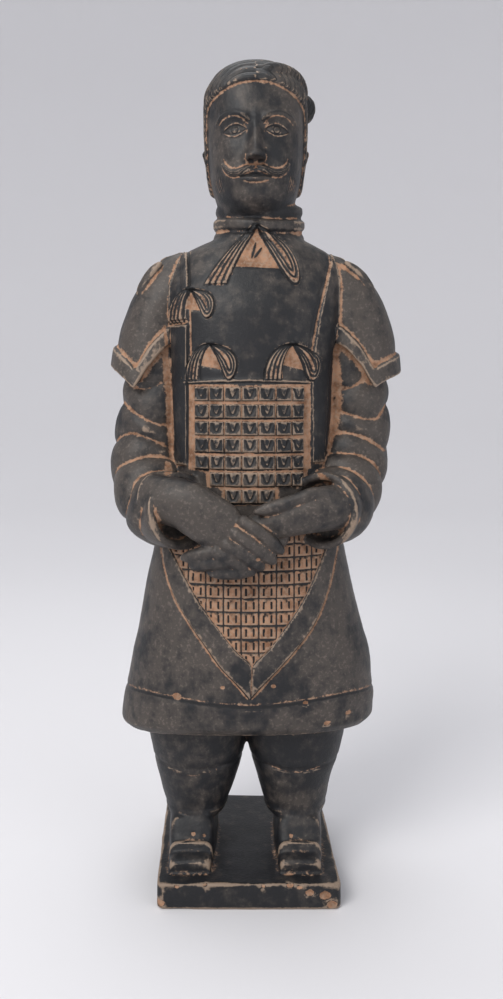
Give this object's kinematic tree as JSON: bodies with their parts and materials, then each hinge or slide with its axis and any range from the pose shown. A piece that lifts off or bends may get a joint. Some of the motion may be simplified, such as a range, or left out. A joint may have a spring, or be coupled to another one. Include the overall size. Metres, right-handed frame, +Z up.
{
  "type": "standing warrior statue",
  "caption": "Standing warrior figure in plated armour with folded hands, of black-slipped fired clay, cast in one piece with its square foot slab.",
  "frame": {"origin": "centre of the foot slab's underside", "axes": "+Z up along the standing figure; the figure faces -Y; +X is to the right of a viewer who faces it"},
  "size_m": [0.2152, 0.1558, 0.5985],
  "materials": {
    "slipped_clay": "worn dark slip over orange fired clay, matt with a slight wax sheen"
  },
  "bodies": {
    "root": {"warrior_statue": "slipped_clay"}
  },
  "joints": []
}
